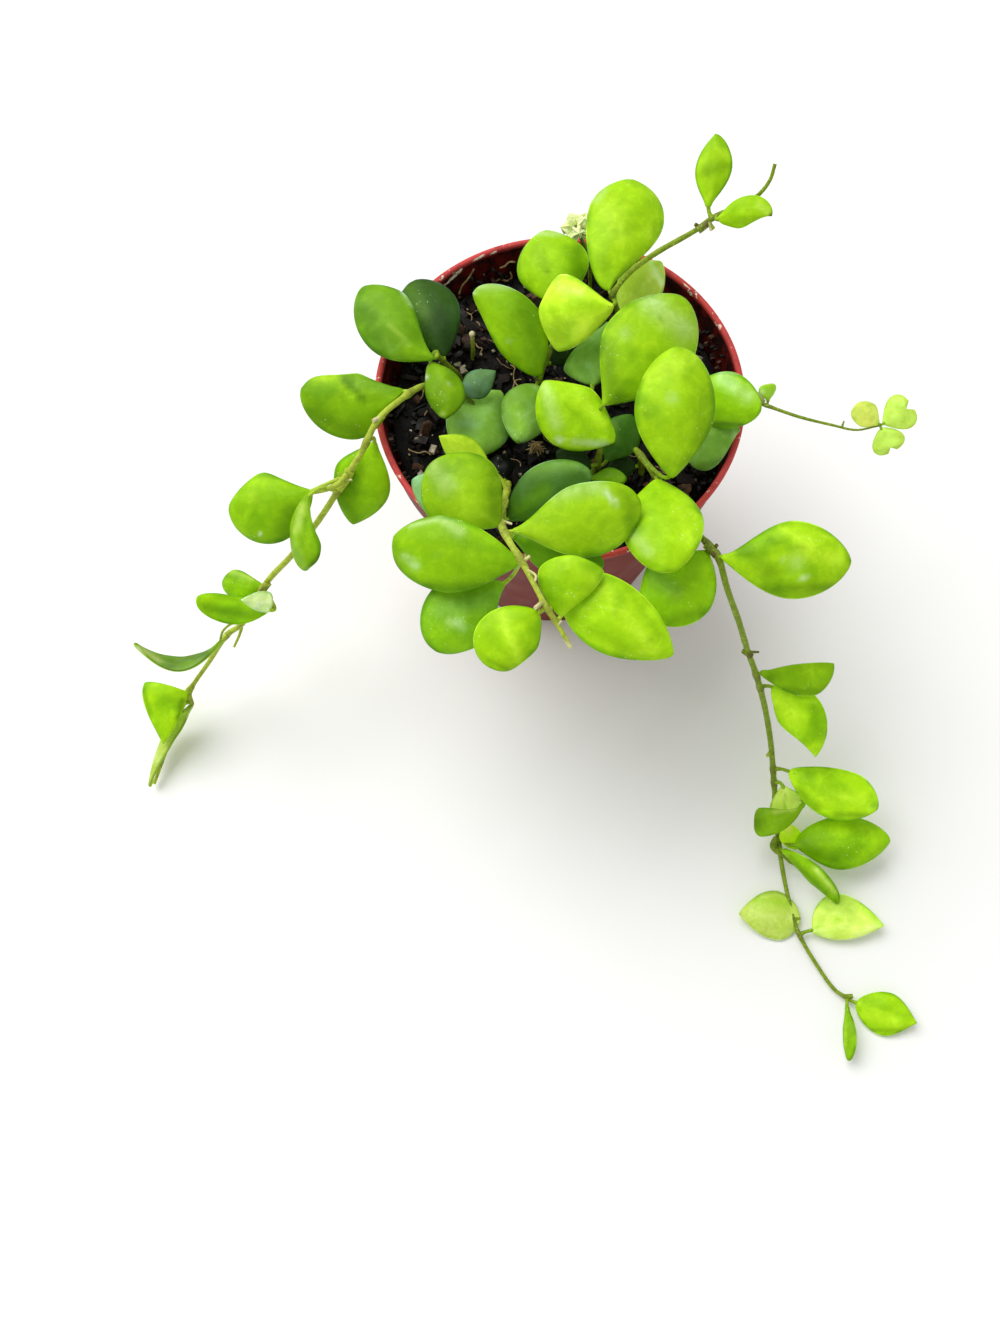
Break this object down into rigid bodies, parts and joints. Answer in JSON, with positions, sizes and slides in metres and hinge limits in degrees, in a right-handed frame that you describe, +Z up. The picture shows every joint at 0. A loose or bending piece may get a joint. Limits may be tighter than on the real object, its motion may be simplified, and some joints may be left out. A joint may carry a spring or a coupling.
{
  "type": "potted hoya heuschkeliana",
  "caption": "Small wax vine in a round tapered nursery pot: leafy shoots over the rim, trailing vines, a spent bloom, a clover and potting mix.",
  "frame": {"origin": "centre of the pot's foot, on the surface that it stands on", "axes": "+Z up along the pot's axis; +X to the right and +Y away from someone who looks down on the plant as in the picture"},
  "size_m": [0.2324, 0.2207, 0.1464],
  "materials": {
    "pot_plastic": "satin",
    "potting_mix": "matte",
    "green_leaf": "satin",
    "old_leaf": "satin",
    "clover_leaf": "matte",
    "cut_stem": "matte",
    "dry_flower": "matte"
  },
  "bodies": {
    "root": {"pot": "pot_plastic", "potting_mix": "potting_mix", "vine_left": "green_leaf", "vine_right": "green_leaf", "shoot_rear": "green_leaf", "shoot_centre": "green_leaf", "shoot_upper_right": "green_leaf", "shoot_right": "green_leaf", "shoot_front": "green_leaf", "shoot_rim_left": "old_leaf", "shoot_inner": "old_leaf", "clover": "clover_leaf", "stem_stub": "cut_stem", "bloom": "dry_flower"}
  },
  "joints": []
}
